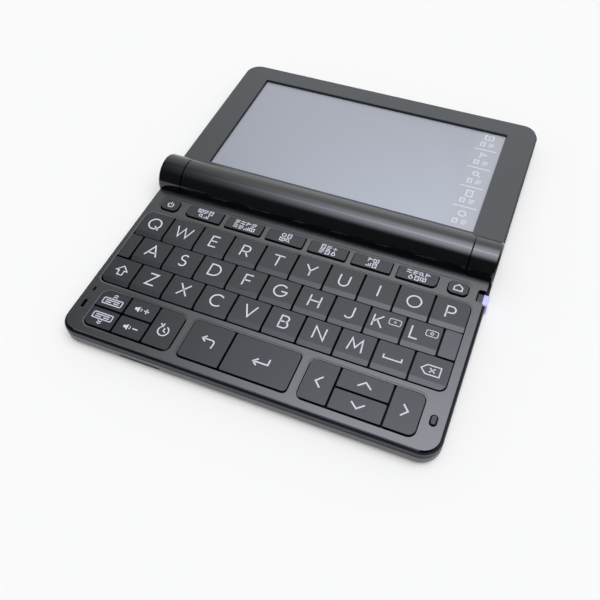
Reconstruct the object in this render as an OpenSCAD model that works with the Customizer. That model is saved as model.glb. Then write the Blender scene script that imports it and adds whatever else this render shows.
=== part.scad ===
// Clamshell electronic dictionary, lid opened flat.
// Frame: +X right, +Y away from the user, +Z up. The origin lies under the hinge axis, on the table.
// All sizes are in millimetres.

/* [Key grid] */
// Key pitch along a row
key_pitch = 14.25; // [13.6:0.05:14.8]
// Pitch from row to row
row_pitch = 13.3; // [12.6:0.1:14]
// Depth of the rearmost letter row
top_row_d = 13.9; // [13.3:0.1:15]
// Width of the first cell in the outer letter rows
first_cell_w = 13.05; // [12:0.05:14]
// Width of the gap between two key caps
key_gap = 0.9; // [0.6:0.05:1.2]
// Travel of a letter key
key_travel = 0.8; // [0.5:0.05:0.9]
// Travel of a function key
fn_travel = 0.5; // [0.3:0.05:0.6]

/* [Function row] */
// Width of the power and home cells
end_key_w = 8.5; // [7.5:0.1:9.5]
// Depth of the function row
fn_row_d = 6.9; // [6.2:0.1:7.6]
// Deck between two function cells
fn_bridge = 1.9; // [1.5:0.1:3]
// Deck between an end key and the function keys
end_bridge = 3.7; // [2.5:0.1:5]
// Deck beyond each end key, measured from the letter field
fn_inset = 3.1; // [2:0.1:5]

/* [Front row] */
// Depth of the front row of keys
front_row_d = 17.6; // [16:0.1:19]
// Distance from the left end of the letter field to the first front key
front_inset_l = 5.2; // [4.5:0.1:7]
// Distance from the last front key to the right end of the letter field
front_inset_r = 5.1; // [4.5:0.1:7]
// Width of the two page keys
page_key_w = 12.6; // [11:0.1:14]
// Width of the two volume keys
volume_key_w = 12.8; // [11:0.1:14]
// Width of the history key
history_key_w = 11.7; // [10:0.1:13]
// Width of the back key
back_key_w = 17.3; // [15:0.1:19]
// Width of the left and right arrow keys
arrow_side_w = 11.8; // [10:0.1:13]
// Width of the up and down arrow keys
arrow_mid_w = 20; // [18:0.1:22]
// Deck between two groups of front keys
group_bridge = 3.1; // [2.4:0.1:4]

/* [Deck] */
// Deck left of the letter field
deck_left = 3.4; // [2.4:0.1:5]
// Deck right of the letter field
deck_right = 4.5; // [3.6:0.1:6]
// Deck in front of the front row
deck_front = 4.55; // [4:0.05:6]
// Deck between the front row and the letter field
deck_strip_f = 3; // [2.5:0.1:4]
// Deck between the letter field and the function row
deck_strip_r = 2.6; // [2.4:0.1:4]
// Deck between the function row and the battery barrel
deck_rear = 4.5; // [4:0.1:6]
// Height of the deck above the table
deck_z = 9.5; // [9.2:0.1:10.5]
// Thickness of the deck plate that shows
deck_t = 1.3; // [1:0.1:1.5]
// Thickness of the key lattice under the caps
lattice_t = 0.6; // [0.5:0.05:0.8]
// Height of the letter caps above the deck
key_proud = 0.25; // [0.1:0.05:0.35]
// Radius of the front corners of the base and the far corners of the lid
corner_r = 7.5; // [5:0.1:9]
// Width of the dark shoulder round the deck
shoulder = 1.3; // [0.8:0.05:1.5]

/* [Lower case] */
// Thickness of the floor
floor_t = 1.2; // [1:0.1:1.4]
// Thickness of the side walls
wall_t = 1.7; // [1.4:0.1:1.9]
// Height of the feet
foot_h = 0.6; // [0.4:0.1:0.8]
// Radius of a front foot
foot_r = 4; // [3:0.1:5]

/* [Battery barrel] */
// Wall of the barrel round the cells
barrel_wall = 1.7; // [1.5:0.05:2]
// Height of the hinge axis above the table
axis_z = 9.8; // [9.7:0.05:10.2]
// Width of one hinge knuckle
knuckle_w = 11; // [10:0.1:11.6]
// Gap between a knuckle and the barrel
seam_gap = 0.3; // [0.3:0.05:0.5]
// Radius of a cell
cell_r = 7.2; // [7:0.05:7.25]
// Length of a cell without its button
cell_l = 49.2; // [48.5:0.1:49.5]
// Width of the battery cover
cover_w = 12.4; // [11:0.1:13]
// Radius of a hinge pin
pin_r = 2; // [1.5:0.1:2.5]

/* [Lid] */
// Thickness of the lid at its back shell and bezel together
lid_t = 6; // [5.6:0.1:6.3]
// Depth of the screen below the bezel face
screen_sink = 1.15; // [0.7:0.05:1.2]
// Width of the screen window
window_w = 122.6; // [112:0.2:124]
// Height of the screen window
window_h = 65.8; // [60:0.1:67]
// Distance from the hinge axis to the near edge of the window
window_y = 14.2; // [13.2:0.1:15]
// How far the lid, when closed, reaches past the front of the base, as a lip for a finger
lid_lip = 1.1; // [0:0.1:1.5]
// Width of the dark edge round the bezel
lid_edge = 0.9; // [0.6:0.05:1.2]
// Thickness of the display with its touch panel
display_t = 3.6; // [3:0.1:3.6]

/* [Stylus] */
// Length of the stylus
stylus_l = 88; // [70:1:100]
// Width of the stylus
stylus_w = 5.4; // [4.8:0.1:5.6]
// Thickness of the stylus
stylus_t = 3.2; // [2.8:0.1:3.3]
// How far the stylus end stands out of the side
stylus_out = 0.6; // [0.2:0.1:0.8]

/* [Hidden] */
$fn = 64;
eps = 0.01;
run_gap = 0.3;
base_tail = 5;
fit_gap = 0.05;
seat_gap = 0.1;

// The barrel is built round the cells, and the hinge knuckles have its radius.
bay_gap = 0.2;
bay_r = cell_r + bay_gap;
barrel_r = bay_r + barrel_wall;

// Plan sizes, from the key grid outwards.
keys_in_row = 10;
field_w = first_cell_w + (keys_in_row - 1) * key_pitch;
field_d = top_row_d + 2 * row_pitch + 0.3;
body_w = deck_left + field_w + deck_right;
half_w = body_w / 2;
fn_y1 = -barrel_r - deck_rear;
fn_y0 = fn_y1 - fn_row_d;
field_y1 = fn_y0 - deck_strip_r;
field_y0 = field_y1 - field_d;
front_y1 = field_y0 - deck_strip_f;
front_y0 = front_y1 - front_row_d;
reach = -front_y0 + deck_front;
lid_reach = reach + lid_lip;
field_x0 = -half_w + deck_left;
field_x1 = half_w - deck_right;

// Heights, from the table up.
floor_z = foot_h + floor_t;
board_z = floor_z + 1.4;
board_t = 1;
mat_z = board_z + board_t;
mat_t = 0.6;
plate_z = deck_z - deck_t;
rim_z = plate_z - seat_gap;
key_top_z = deck_z + key_proud;
fn_top_z = key_top_z + 0.2;
lattice_z1 = key_top_z - 1.25 - key_travel - seat_gap;
lattice_z0 = lattice_z1 - lattice_t;
flange_z1 = lattice_z0 - seat_gap;
flange_z0 = flange_z1 - 0.5;
dome_z = flange_z0 - key_travel - seat_gap;
fn_mat_z = flange_z0 - fn_travel - seat_gap - mat_t;

// Key plan: a cap is its cell less half the gap, the neck passes the lattice, the flange is held under it.
cap_in = key_gap / 2;
neck_in = cap_in + 0.95;
hole_in = neck_in - run_gap;
flange_in = cap_in + 0.2;
bevel_d = 2;
bevel_h = 0.7;
group_r = 2.6;
plain_r = 0.5;

// Cells: [name, x0, y0, x1, y1, [front-left, front-right, rear-right, rear-left radius], bevelled, travel].
function cell(name, x0, y0, x1, y1, r, bevelled, travel) = [name, x0, y0, x1, y1, r, bevelled, travel];
sharp = [plain_r, plain_r, plain_r, plain_r];
row_3 = ["key_shift", "key_z", "key_x", "key_c", "key_v", "key_b", "key_n", "key_m", "key_space", "key_delete"];
row_2 = ["key_a", "key_s", "key_d", "key_f", "key_g", "key_h", "key_j", "key_k", "key_l"];
row_1 = ["key_q", "key_w", "key_e", "key_r", "key_t", "key_y", "key_u", "key_i", "key_o", "key_p"];
row_1_y0 = field_y1 - top_row_d - 0.15;
row_2_y0 = row_1_y0 - row_pitch;
row_3_y0 = row_2_y0 - row_pitch;
function outer_x(i) = i == 0 ? field_x0 : field_x1 - (keys_in_row - i) * key_pitch;
function middle_x(i) = field_x1 - (keys_in_row - 0.5 - i) * key_pitch;
row_1_cells = [for (i = [0:9]) cell(row_1[i], outer_x(i), row_1_y0, outer_x(i + 1), field_y1,
    [plain_r, plain_r, i == 9 ? group_r : plain_r, i == 0 ? group_r : plain_r], true, key_travel)];
row_2_cells = [for (i = [0:8]) cell(row_2[i], middle_x(i), row_2_y0, middle_x(i + 1), row_1_y0,
    sharp, true, key_travel)];
row_3_cells = [for (i = [0:9]) cell(row_3[i], outer_x(i), row_3_y0, outer_x(i + 1), row_2_y0,
    [i == 0 ? group_r : plain_r, i == 9 ? group_r : plain_r, plain_r, plain_r], true, key_travel)];

// Function row: power, six function keys, home.
power_x0 = field_x0 + fn_inset;
home_x1 = field_x1 - fn_inset;
fn_x0 = power_x0 + end_key_w + end_bridge;
fn_x1 = home_x1 - end_key_w - end_bridge;
fn_count = 6;
fn_cell_w = (fn_x1 - fn_x0 - (fn_count - 1) * fn_bridge) / fn_count;
fn_cell_pitch = fn_cell_w + fn_bridge;
round_all = [2, 2, 2, 2];
fn_cells = concat(
    [cell("key_power", power_x0, fn_y0, power_x0 + end_key_w, fn_y1, round_all, false, fn_travel)],
    [for (i = [0:fn_count - 1]) cell(str("key_function_", i + 1), fn_x0 + i * fn_cell_pitch, fn_y0,
        fn_x0 + i * fn_cell_pitch + fn_cell_w, fn_y1,
        [i == 0 ? 2 : plain_r, i == fn_count - 1 ? 2 : plain_r, plain_r, plain_r], false, fn_travel)],
    [cell("key_home", home_x1 - end_key_w, fn_y0, home_x1, fn_y1, round_all, false, fn_travel)]);

// Front row: page and volume keys with history, then back and enter, then the arrows.
front_mid_y = (front_y0 + front_y1) / 2 + 0.2;
page_x0 = field_x0 + front_inset_l;
volume_x0 = page_x0 + page_key_w;
history_x0 = volume_x0 + volume_key_w;
history_x1 = history_x0 + history_key_w;
back_x0 = history_x1 + group_bridge;
arrow_x3 = field_x1 - front_inset_r;
arrow_x2 = arrow_x3 - arrow_side_w;
arrow_x1 = arrow_x2 - arrow_mid_w;
arrow_x0 = arrow_x1 - arrow_side_w;
enter_x0 = back_x0 + back_key_w;
enter_x1 = arrow_x0 - group_bridge;
front_cells = [
    cell("key_page_up", page_x0, front_mid_y, volume_x0, front_y1, [plain_r, plain_r, plain_r, group_r],
        false, key_travel),
    cell("key_page_down", page_x0, front_y0, volume_x0, front_mid_y, [group_r, plain_r, plain_r, plain_r],
        false, key_travel),
    cell("key_volume_up", volume_x0, front_mid_y, history_x0, front_y1, sharp, false, key_travel),
    cell("key_volume_down", volume_x0, front_y0, history_x0, front_mid_y, sharp, false, key_travel),
    cell("key_history", history_x0, front_y0, history_x1, front_y1, [plain_r, 1.5, 1.5, plain_r],
        false, key_travel),
    cell("key_back", back_x0, front_y0, enter_x0, front_y1, [1.5, plain_r, plain_r, 1.5], false, key_travel),
    cell("key_enter", enter_x0, front_y0, enter_x1, front_y1, [plain_r, 1.5, 1.5, plain_r], false, key_travel),
    cell("key_left", arrow_x0, front_y0, arrow_x1, front_y1, [1.5, plain_r, plain_r, 1.5], false, key_travel),
    cell("key_up", arrow_x1, front_mid_y, arrow_x2, front_y1, sharp, false, key_travel),
    cell("key_down", arrow_x1, front_y0, arrow_x2, front_mid_y, sharp, false, key_travel),
    cell("key_right", arrow_x2, front_y0, arrow_x3, front_y1, [plain_r, group_r, group_r, plain_r],
        false, key_travel)];

CELLS = concat(fn_cells, row_1_cells, row_2_cells, row_3_cells, front_cells);

// Lid heights with the lid open flat. Closed, its face lies just as far above the hinge axis.
lid_face_z = axis_z - 0.45;
lid_back_z = lid_face_z - lid_t;
bezel_t = 1.5;
lid_rim_z = lid_face_z - bezel_t;
display_z1 = lid_face_z - screen_sink;
display_z0 = display_z1 - display_t;
lid_near = barrel_r + run_gap + 0.05;
display_lap = 3;
display_w = window_w + 2 * display_lap;
display_y0 = window_y - 1.9;
display_y1 = window_y + window_h + display_lap;

// Barrel lengths.
barrel_half = half_w - knuckle_w - seam_gap;
button_l = 1.3;
button_r = 2.7;
bay_half = cell_l + button_l + 2;
cover_gap = 0.15;
pin_in = 7;
pad_w = 6;

// Stylus bay: along the rear of the base, open at the right side.
stylus_y = fn_y1 - fn_row_d / 2 - 0.7;
stylus_z = floor_z + seat_gap;
stylus_x1 = half_w + stylus_out;
stylus_x0 = stylus_x1 - stylus_l;
bay_wall = 0.6;
rear_wall_t = 2.4;
cap_l = 4.4;
notch_x0 = stylus_x1 - cap_l - 0.6;
notch_w = stylus_w + 1;

main_nodes = ["lower_case", "upper_case", "battery_barrel", "battery_cover", "battery_cells", "hinge_pins",
    "circuit_board", "key_mat", "stylus", "lid_back", "lid_bezel", "display_module"];

// Rectangle from p0 to p1 with its own radius at each corner: front-left, front-right, rear-right, rear-left.
module plate_2d(p0, p1, r) {
    corners = [[p0[0], p0[1], 1, 1], [p1[0], p0[1], -1, 1], [p1[0], p1[1], -1, -1], [p0[0], p1[1], 1, -1]];
    difference() {
        translate(p0) square([p1[0] - p0[0], p1[1] - p0[1]]);
        for (k = [0:3]) if (r[k] > 0) {
            c = corners[k];
            translate([c[0], c[1]]) mirror([c[2] < 0 ? 1 : 0, 0]) mirror([0, c[3] < 0 ? 1 : 0])
                difference() {
                    translate([-1, -1]) square(r[k] + 1);
                    translate([r[k], r[k]]) circle(r[k]);
                }
        }
    }
}

module slab(p0, p1, r, z0, z1) {
    translate([0, 0, z0]) linear_extrude(z1 - z0) plate_2d(p0, p1, r);
}

module block(p0, p1) {
    translate(p0) cube(p1 - p0);
}

module along_x(x0, x1) {
    translate([x0, 0, axis_z]) rotate([90, 0, 90]) linear_extrude(x1 - x0) children();
}

// Outline of the base, drawn in by a margin; its rear end is cut to the barrel afterwards.
module base_2d(margin) {
    r = corner_r - margin;
    plate_2d([-half_w + margin, -reach + margin], [half_w - margin, -base_tail], [r, r, 0, 0]);
}

// Outline of the lid, drawn in by a margin.
module lid_2d(margin) {
    r = corner_r - margin;
    plate_2d([-half_w + margin, 0], [half_w - margin, lid_reach - margin], [0, 0, r, r]);
}

// Room for the barrel and, a running gap wider, for the two knuckles.
module barrel_room() {
    along_x(-half_w - 1, half_w + 1) circle(barrel_r + fit_gap);
    for (s = [-1, 1])
        flip_x(s) along_x(barrel_half - eps, half_w + 1) circle(barrel_r + run_gap);
}

module flip_x(s) {
    mirror([s < 0 ? 1 : 0, 0, 0]) children();
}

module lower_case() {
    color("#3a3c41") difference() {
        union() {
            difference() {
                hull() {
                    translate([0, 0, rim_z - eps]) linear_extrude(eps) base_2d(0.3, $fn = 32);
                    translate([0, 0, rim_z - 0.5]) linear_extrude(eps) base_2d(0, $fn = 32);
                    translate([0, 0, foot_h + 2.2]) linear_extrude(eps) base_2d(0.1, $fn = 32);
                    translate([0, 0, foot_h + 1.2]) linear_extrude(eps) base_2d(0.4, $fn = 32);
                    translate([0, 0, foot_h + 0.45]) linear_extrude(eps) base_2d(1.05, $fn = 32);
                    translate([0, 0, foot_h]) linear_extrude(eps) base_2d(2.4, $fn = 32);
                }
                translate([0, 0, floor_z]) linear_extrude(rim_z) difference() {
                    base_2d(wall_t);
                    translate([-half_w, -barrel_r - rear_wall_t]) square([body_w, barrel_r]);
                }
            }
            board_ribs();
            screw_bosses();
            stylus_rails();
            front_feet();
        }
        barrel_room();
        seam_groove();
        thumb_slot();
        stylus_mouth();
    }
}

// Four ribs that carry the circuit board.
module board_ribs() {
    for (x = [-54, -18, 18, 54])
        block([x - 0.6, front_y0 + 2, floor_z - eps], [x + 0.6, field_y1 - 3, board_z]);
}

boss_r = 1.8;
module screw_bosses() {
    for (s = [-1, 1])
        translate([s * (half_w - wall_t - boss_r - 0.4), -reach + wall_t + 4.6, floor_z - eps])
            cylinder(r = boss_r, h = lattice_z0 - floor_z + eps);
}

// Two rails that guide the stylus, and the stop at its inner end.
module stylus_rails() {
    y0 = stylus_y - stylus_w / 2 - run_gap;
    y1 = stylus_y + stylus_w / 2 + run_gap;
    z1 = stylus_z + stylus_t;
    block([stylus_x0 - 1.5, y0 - bay_wall, floor_z - eps], [half_w - wall_t, y0, z1]);
    block([stylus_x0 - 1.5, y1, floor_z - eps], [half_w - wall_t, y1 + bay_wall, z1]);
    block([stylus_x0 - 1.5, y0 - bay_wall, floor_z - eps], [stylus_x0 - run_gap, y1 + bay_wall, z1]);
}

module front_feet() {
    for (s = [-1, 1])
        translate([s * (half_w - 14), -reach + 12, 0]) cylinder(r = foot_r, h = foot_h + eps);
}

groove_d = 0.35;
groove_z = 2.2;
// Thin groove between the dark rim band and the lower part of the case, all the way round.
module seam_groove() {
    translate([0, 0, rim_z - groove_z]) linear_extrude(0.3) difference() {
        translate([-half_w - 1, -reach - 1]) square([body_w + 2, reach]);
        base_2d(groove_d);
    }
}

// Slot for a fingernail low in the front wall, left of the middle.
thumb_x0 = -48;
thumb_w = 17;
module thumb_slot() {
    block([thumb_x0, -reach - 1, foot_h + 2.4], [thumb_x0 + thumb_w, -reach + 1.3, foot_h + 3.3]);
}

module stylus_mouth() {
    y0 = stylus_y - notch_w / 2;
    block([half_w - wall_t - 1, y0, stylus_z - seat_gap], [half_w + 1, y0 + notch_w, deck_z]);
}

module upper_case() {
    color("#4d4f55") row_blanks();
    color("#3c3d40") bumper();
    color("#4d4f55") difference() {
        union() {
            translate([0, 0, plate_z]) linear_extrude(deck_t) base_2d(shoulder);
            translate([0, 0, lattice_z0]) linear_extrude(plate_z - lattice_z0 + eps) base_2d(wall_t + seat_gap);
        }
        difference() {
            bumper_slab(0.35, deck_z - bumper_groove, deck_z + 1);
            bumper_slab(0, deck_z - bumper_groove - 1, deck_z + 2);
        }
        barrel_room();
        key_wells();
        fn_tray();
        for (c = CELLS) neck_hole(c);
        slab([notch_x0, stylus_y - notch_w / 2], [half_w + 1, stylus_y + notch_w / 2],
            [1.2, 0, 0, 1.2], lattice_z0 - 1, deck_z + 1);
        side_slots();
        block([-half_w, -barrel_r - rear_wall_t - seat_gap, lattice_z0 - 1], [half_w, 0, plate_z]);
    }
}

// Raised oval stop near the right front corner.
bumper_x = 5.4;
bumper_y = 13.4;
bumper_h = 0.55;
bumper_r = 1.1;
bumper_l = 4;
bumper_groove = 0.4;
module bumper() {
    bumper_slab(0, deck_z - bumper_groove - eps, deck_z + bumper_h);
}

// Upright oval plate with a margin round the stop's own outline.
module bumper_slab(margin, z0, z1) {
    x = half_w - bumper_x;
    y = -reach + bumper_y;
    slab([x - bumper_r - margin, y - bumper_l / 2 - margin], [x + bumper_r + margin, y + bumper_l / 2 + margin],
        (bumper_r + margin - eps) * [1, 1, 1, 1], z0, z1);
}

// Two short slots near the left front corner.
slot_x = -half_w + 4.5;
module side_slots() {
    for (s = [[20.5, 2.1, 0.9], [13, 3.8, 1.3]])
        block([slot_x - s[2] / 2, -reach + s[0] - s[1] / 2, deck_z - 0.8],
            [slot_x + s[2] / 2, -reach + s[0] + s[1] / 2, deck_z + 1]);
}

rim_step = 0.6;
rim_sink = 0.15;
well_front = 0.3;
// The openings in the deck, down to the lattice, with more room in front of the caps than behind them.
// The large ones have a fine step round their edge.
module key_wells() {
    wells = [
        [[field_x0, field_y0], [field_x1, field_y1], group_r + cap_in],
        [[page_x0, front_y0], [history_x1, front_y1], group_r + cap_in],
        [[back_x0, front_y0], [enter_x1, front_y1], 1.5 + cap_in],
        [[arrow_x0, front_y0], [arrow_x3, front_y1], group_r + cap_in]];
    for (w = wells) {
        r = w[2] * [1, 1, 1, 1];
        front = w[0] - [0, well_front];
        slab(front, w[1], r, lattice_z1, deck_z + 1);
        slab(front - [rim_step, rim_step], w[1] + [rim_step, rim_step], r + rim_step * [1, 1, 1, 1],
            deck_z - rim_sink, deck_z + 1);
    }
    for (c = fn_cells)
        slab([c[1], c[2] - well_front], [c[3], c[4]], c[5] + cap_in * [1, 1, 1, 1], lattice_z1, deck_z + 1);
}

tray_sink = 0.15;
tray_rim = 0.85;
// Shallow tray in which the function row sits.
module fn_tray() {
    slab([power_x0 - tray_rim, fn_y0 - tray_rim / 2], [home_x1 + tray_rim, fn_y1 + tray_rim],
        [2.6, 2.6, 2.6, 2.6], deck_z - tray_sink, deck_z + 1);
}

// Narrow blanks, level with the caps, at both ends of the middle letter row.
module row_blanks() {
    for (x = [[field_x0, middle_x(0)], [middle_x(9), field_x1]])
        slab([x[0] + cap_in, row_2_y0 + cap_in], [x[1] - cap_in, row_1_y0 - cap_in], sharp,
            lattice_z0 + 0.1, key_top_z);
}

module neck_hole(c) {
    block([c[1] + hole_in, c[2] + hole_in, lattice_z0 - 1], [c[3] - hole_in, c[4] - hole_in, lattice_z1 + eps]);
}

module key_piece(c) {
    is_fn = c[7] == fn_travel && !c[6];
    top = c[2] == fn_y0 ? fn_top_z : key_top_z;
    crown_z = key_top_z - 1.25;
    p0 = [c[1] + cap_in, c[2] + cap_in];
    p1 = [c[3] - cap_in, c[4] - cap_in];
    color("#3c3e43") union() {
        intersection() {
            slab(p0, p1, c[5], crown_z, top);
            if (c[6]) crown_profile(p0, p1, crown_z, top);
            else block([p0[0], p0[1], crown_z], [p1[0], p1[1], top]);
        }
        block([c[1] + neck_in, c[2] + neck_in, flange_z0], [c[3] - neck_in, c[4] - neck_in, crown_z + eps]);
        block([c[1] + flange_in, c[2] + flange_in, flange_z0], [c[3] - flange_in, c[4] - flange_in, flange_z1]);
        if (c[0] == "key_f" || c[0] == "key_j") touch_bar(p0, p1, top);
    }
}

// Side profile of a letter cap: flat on top, sloping down to its front edge.
module crown_profile(p0, p1, z0, z1) {
    translate([p0[0], 0, 0]) rotate([90, 0, 90]) linear_extrude(p1[0] - p0[0])
        polygon([[p0[1], z0], [p1[1], z0], [p1[1], z1], [p0[1] + bevel_d, z1], [p0[1], z1 - bevel_h]]);
}

// Small bar by which the finger finds the home row.
module touch_bar(p0, p1, top) {
    x = (p0[0] + p1[0]) / 2;
    block([x - 1.6, p0[1] + bevel_d + 0.1, top - eps], [x + 1.6, p0[1] + bevel_d + 0.6, top + 0.15]);
}

module battery_barrel() {
    color("#17181a") difference() {
        union() {
            along_x(-barrel_half, barrel_half) circle(barrel_r);
            along_x(-barrel_half - seam_gap + seat_gap, barrel_half + seam_gap - seat_gap)
                circle(barrel_r - barrel_wall);
            for (s = [-1, 1])
                flip_x(s) block([bay_half + 3, -pad_w / 2, 0], [barrel_half - 1.5, pad_w / 2, axis_z - barrel_r + 1]);
        }
        along_x(-bay_half, bay_half) circle(bay_r);
        along_x(-barrel_half - 1, -barrel_half + pin_in) circle(pin_r + fit_gap);
        along_x(barrel_half - pin_in, barrel_half + 1) circle(pin_r + fit_gap);
        block([-bay_half, -cover_w / 2, -1], [bay_half, cover_w / 2, axis_z - bay_r / 2]);
    }
}

module battery_cover() {
    g = cover_gap;
    color("#1d1e21") intersection() {
        along_x(-bay_half + g, bay_half - g) difference() {
            circle(barrel_r);
            circle(bay_r);
        }
        difference() {
            block([-bay_half, -cover_w / 2 + g, 0], [bay_half, cover_w / 2 - g, axis_z - bay_r / 2]);
            for (k = [0:grip_n - 1])
                block([bay_half - 8 - k * grip_pitch, -4, -1],
                    [bay_half - 8 - k * grip_pitch + grip_pitch / 2, 4, axis_z - barrel_r + 0.4]);
        }
    }
}

// Grooves that let a thumb push the cover.
grip_n = 6;
grip_pitch = 1.6;

// Two cells end to end, each with its button towards the right.
module battery_cells() {
    pitch = cell_l + button_l;
    color("#b9bcc2") for (x = [-pitch, 0]) {
        along_x(x, x + cell_l) circle(cell_r);
        along_x(x + cell_l - 0.5, x + pitch) circle(button_r);
    }
}

module hinge_pins() {
    color("#9da1a8") for (s = [-1, 1])
        flip_x(s) along_x(barrel_half - pin_in + 0.5, half_w - 3) circle(pin_r);
}

module circuit_board() {
    x = half_w - wall_t - 2 * boss_r - 1.7;
    color("#2f6b45") block([-x, front_y0 + 0.5, board_z], [x, field_y1 - 1, mat_z]);
}

// Rubber sheet with a low dome under every key; behind the letters it steps up over the stylus bay.
module key_mat() {
    riser_y = field_y1 - flange_in + seat_gap;
    color("#5b5e66") union() {
        translate([0, 0, mat_z]) linear_extrude(mat_t) union() {
            translate([field_x0 + 0.6, field_y0 - 0.6]) square([field_w - 1.2, riser_y - field_y0 + 1]);
            translate([page_x0, front_y0 + 0.6]) square([arrow_x3 - page_x0, front_row_d + 3]);
        }
        translate([power_x0, 0, 0]) rotate([90, 0, 90]) linear_extrude(home_x1 - power_x0)
            polygon([[riser_y, mat_z + 0.1], [riser_y + 0.6, mat_z + 0.1], [riser_y + 0.6, fn_mat_z],
                [fn_y1 - 0.3, fn_mat_z], [fn_y1 - 0.3, fn_mat_z + mat_t], [riser_y, fn_mat_z + mat_t]]);
        for (c = CELLS) if (c[2] < fn_y0 - 1) dome(c);
    }
}

dome_r = 2.6;
module dome(c) {
    translate([(c[1] + c[3]) / 2, (c[2] + c[4]) / 2, mat_z + mat_t - eps])
        cylinder(r = dome_r, h = dome_z - mat_z - mat_t + eps);
}

// Flat oval pen whose raised end cap fills the notch in the side of the base.
module stylus() {
    y0 = stylus_y - stylus_w / 2;
    y1 = stylus_y + stylus_w / 2;
    color("#c9c9f2") union() {
        translate([stylus_x0, 0, 0]) rotate([90, 0, 90]) linear_extrude(stylus_l)
            plate_2d([y0, stylus_z], [y1, stylus_z + stylus_t], [1.3, 1.3, 1.3, 1.3]);
        translate([stylus_x1 - cap_l, 0, 0]) rotate([90, 0, 90]) linear_extrude(cap_l)
            plate_2d([y0, stylus_z], [y1, deck_z - 1.1], [1.3, 1.3, 1, 1]);
    }
}

// Back shell of the lid with the two hinge knuckles at its near corners.
module lid_back() {
    z = lid_back_z;
    color("#2b2c30") difference() {
        union() {
            difference() {
                hull() {
                    translate([0, 0, lid_rim_z - eps]) linear_extrude(eps) lid_2d(0, $fn = 32);
                    translate([0, 0, z + 2.6]) linear_extrude(eps) lid_2d(0.05, $fn = 32);
                    translate([0, 0, z + 1.2]) linear_extrude(eps) lid_2d(0.3, $fn = 32);
                    translate([0, 0, z + 0.4]) linear_extrude(eps) lid_2d(1, $fn = 32);
                    translate([0, 0, z]) linear_extrude(eps) lid_2d(2.2, $fn = 32);
                }
                block([-barrel_half - seam_gap, -1, z - 1],
                    [barrel_half + seam_gap, lid_near, lid_rim_z + 1]);
                lid_cavity();
            }
            for (s = [-1, 1]) flip_x(s) knuckle();
        }
        for (s = [-1, 1])
            flip_x(s) along_x(barrel_half, half_w - 3) circle(pin_r);
    }
}

lid_wall = 1.6;
module lid_cavity() {
    x = half_w - lid_wall;
    floor_top = display_z0;
    slab([-display_w / 2 - seat_gap, display_y0 - seat_gap], [display_w / 2 + seat_gap, display_y1 + seat_gap],
        [0.5, 0.5, 0.5, 0.5], floor_top, lid_rim_z + 1);
    slab([-x, display_y0 + 4], [-display_w / 2 - 1.2, lid_reach - lid_wall], [1, 1, 1, corner_r - lid_wall],
        floor_top, lid_rim_z + 1);
    slab([display_w / 2 + 1.2, display_y0 + 4], [x, lid_reach - lid_wall], [1, 1, corner_r - lid_wall, 1],
        floor_top, lid_rim_z + 1);
}

// One knuckle: a short barrel with a rounded outer end.
knuckle_round = 1.2;
module knuckle() {
    steps = 6;
    translate([0, 0, axis_z]) rotate([0, 90, 0]) rotate_extrude()
        polygon(concat([[0, barrel_half + seam_gap], [barrel_r, barrel_half + seam_gap]],
            [for (k = [0:steps]) [barrel_r - knuckle_round + knuckle_round * cos(90 * k / steps),
                half_w - knuckle_round + knuckle_round * sin(90 * k / steps)]],
            [[0, half_w]]));
}

// Front frame of the lid with the screen window and the pocket that holds the display.
module lid_bezel() {
    color("#4b4d51") difference() {
        translate([0, 0, lid_rim_z]) linear_extrude(bezel_t) lid_2d(lid_edge);
        block([-barrel_half - seam_gap, -1, lid_rim_z - 1],
            [barrel_half + seam_gap, lid_near + 0.1, lid_face_z + 1]);
        along_x(-half_w - 1, half_w + 1) circle(barrel_r + fit_gap);
        slab([-window_w / 2, window_y], [window_w / 2, window_y + window_h], [0.4, 0.4, 0.4, 0.4],
            lid_rim_z - 1, lid_face_z + 1);
        slab([-display_w / 2 - seat_gap, display_y0 - seat_gap],
            [display_w / 2 + seat_gap, display_y1 + seat_gap], [0.5, 0.5, 0.5, 0.5],
            lid_rim_z - 1, display_z1);
    }
}

module display_module() {
    color("#a9adb6") slab([-display_w / 2, display_y0], [display_w / 2, display_y1], [0.5, 0.5, 0.5, 0.5],
        display_z0, display_z1);
}

lower_case();
upper_case();
battery_barrel();
battery_cover();
battery_cells();
hinge_pins();
circuit_board();
key_mat();
stylus();
lid_back();
lid_bezel();
display_module();
for (c = CELLS)
    key_piece(c);
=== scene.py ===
import bpy
import numpy as np
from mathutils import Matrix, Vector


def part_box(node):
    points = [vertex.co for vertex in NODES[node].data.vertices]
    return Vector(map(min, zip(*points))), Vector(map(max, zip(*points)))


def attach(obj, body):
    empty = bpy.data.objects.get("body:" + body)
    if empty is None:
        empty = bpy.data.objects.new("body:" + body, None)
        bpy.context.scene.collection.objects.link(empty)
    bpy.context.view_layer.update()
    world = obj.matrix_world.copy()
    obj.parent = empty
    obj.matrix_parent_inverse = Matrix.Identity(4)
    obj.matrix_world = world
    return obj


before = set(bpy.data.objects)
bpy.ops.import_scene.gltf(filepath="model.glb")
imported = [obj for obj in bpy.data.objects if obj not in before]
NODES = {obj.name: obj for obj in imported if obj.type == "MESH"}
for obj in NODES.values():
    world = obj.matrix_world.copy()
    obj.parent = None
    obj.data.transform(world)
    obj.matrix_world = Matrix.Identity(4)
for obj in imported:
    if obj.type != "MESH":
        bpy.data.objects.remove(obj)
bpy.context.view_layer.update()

bl_info = {
    "name": "Electronic dictionary",
    "version": (1, 0, 0),
    "blender": (4, 5, 0),
    "location": "View3D > Sidebar > Dictionary",
    "description": "Finishes, key legends, screen print and stage for a clamshell dictionary",
    "category": "Object",
}

MM = 0.001

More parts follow.
